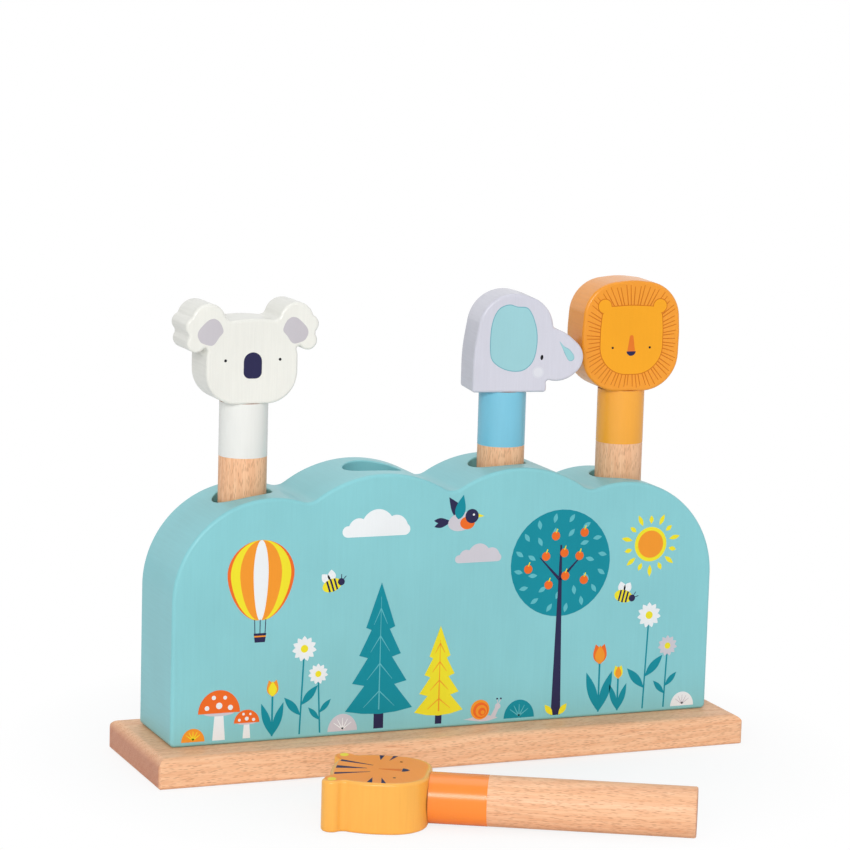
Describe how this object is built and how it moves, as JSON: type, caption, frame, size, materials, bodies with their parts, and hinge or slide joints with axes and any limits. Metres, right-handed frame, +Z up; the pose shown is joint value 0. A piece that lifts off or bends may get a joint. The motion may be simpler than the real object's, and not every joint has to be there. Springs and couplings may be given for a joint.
{
  "type": "pop up animal toy",
  "caption": "Cloud-topped wooden block on a flat base, with animal-headed dowel pegs that stand on springs in bored wells, bounce when pressed, turn and lift out.",
  "frame": {"origin": "centre of the base plate's underside, on the floor", "axes": "+X along the block towards the lion's end, +Y away from the viewer, +Z up"},
  "size_m": [0.263, 0.2006, 0.1986],
  "materials": {
    "base_beech": "fine-sanded bare beech, oiled, satin",
    "block_paint": "solid wood block, blue-green satin paint with printed motifs on the front",
    "koala_dowel_beech": "bare beech dowel with a white satin painted collar",
    "tiger_dowel_beech": "bare beech dowel with an orange satin painted collar",
    "elephant_dowel_beech": "bare beech dowel with a blue satin painted collar",
    "lion_dowel_beech": "bare beech dowel with an amber satin painted collar",
    "koala_paint": "wooden board, off-white satin paint",
    "elephant_paint": "wooden board, pale lavender-grey satin paint",
    "lion_paint": "wooden board, amber satin paint",
    "tiger_paint": "wooden board, orange satin paint",
    "pin_beech": "fluteless beech dowel pin, glued",
    "spring_steel": "bright zinc-plated spring wire",
    "screw_steel": "bright zinc-plated screws",
    "staple_steel": "galvanised staple wire"
  },
  "bodies": {
    "toy_body": {"base_plate": "base_beech", "block": "block_paint", "base_screws": "screw_steel", "spring_staples": "staple_steel"},
    "koala_coil": {"koala_spring": "spring_steel"},
    "koala_core": {"koala_pin": "pin_beech"},
    "koala_peg": {"koala_dowel": "koala_dowel_beech", "koala_head": "koala_paint"},
    "tiger_coil": {"tiger_spring": "spring_steel"},
    "elephant_coil": {"elephant_spring": "spring_steel"},
    "elephant_core": {"elephant_pin": "pin_beech"},
    "elephant_peg": {"elephant_dowel": "elephant_dowel_beech", "elephant_head": "elephant_paint"},
    "lion_coil": {"lion_spring": "spring_steel"},
    "lion_core": {"lion_pin": "pin_beech"},
    "lion_peg": {"lion_dowel": "lion_dowel_beech", "lion_head": "lion_paint"},
    "tiger_peg": {"tiger_dowel": "tiger_dowel_beech", "tiger_head": "tiger_paint", "tiger_pin": "pin_beech"}
  },
  "joints": [
    {"name": "koala_press", "type": "slide", "parent": "toy_body", "child": "koala_coil", "axis": [0, 0, 1], "range_m": [-0.02, 0], "stiffness_N_per_m": 160, "springref_m": 0.005, "deforming": ["koala_spring"]},
    {"name": "koala_lift", "type": "slide", "parent": "koala_coil", "child": "koala_core", "axis": [0, 0, 1], "range_m": [0, 0.11]},
    {"name": "koala_turn", "type": "hinge", "parent": "koala_core", "child": "koala_peg", "pos_m": [-0.0855, 0.003, 0.15], "axis": [0, 0, 1], "continuous": true},
    {"name": "tiger_press", "type": "slide", "parent": "toy_body", "child": "tiger_coil", "axis": [0, 0, 1], "range_m": [-0.02, 0], "stiffness_N_per_m": 160, "springref_m": 0.001, "deforming": ["tiger_spring"]},
    {"name": "elephant_press", "type": "slide", "parent": "toy_body", "child": "elephant_coil", "axis": [0, 0, 1], "range_m": [-0.02, 0], "stiffness_N_per_m": 160, "springref_m": 0.005, "deforming": ["elephant_spring"]},
    {"name": "elephant_lift", "type": "slide", "parent": "elephant_coil", "child": "elephant_core", "axis": [0, 0, 1], "range_m": [0, 0.11]},
    {"name": "elephant_turn", "type": "hinge", "parent": "elephant_core", "child": "elephant_peg", "pos_m": [0.03, 0.003, 0.15], "axis": [0, 0, 1], "range_deg": [-3, 3]},
    {"name": "lion_press", "type": "slide", "parent": "toy_body", "child": "lion_coil", "axis": [0, 0, 1], "range_m": [-0.02, 0], "stiffness_N_per_m": 160, "springref_m": 0.005, "deforming": ["lion_spring"]},
    {"name": "lion_lift", "type": "slide", "parent": "lion_coil", "child": "lion_core", "axis": [0, 0, 1], "range_m": [0, 0.11]},
    {"name": "lion_turn", "type": "hinge", "parent": "lion_core", "child": "lion_peg", "pos_m": [0.0855, 0.003, 0.15], "axis": [0, 0, 1], "range_deg": [-3, 3]},
    {"name": "tiger_lift", "type": "slide", "parent": "toy_body", "child": "tiger_peg", "axis": [0, 0, 1], "range_m": [0, 0.11]}
  ]
}
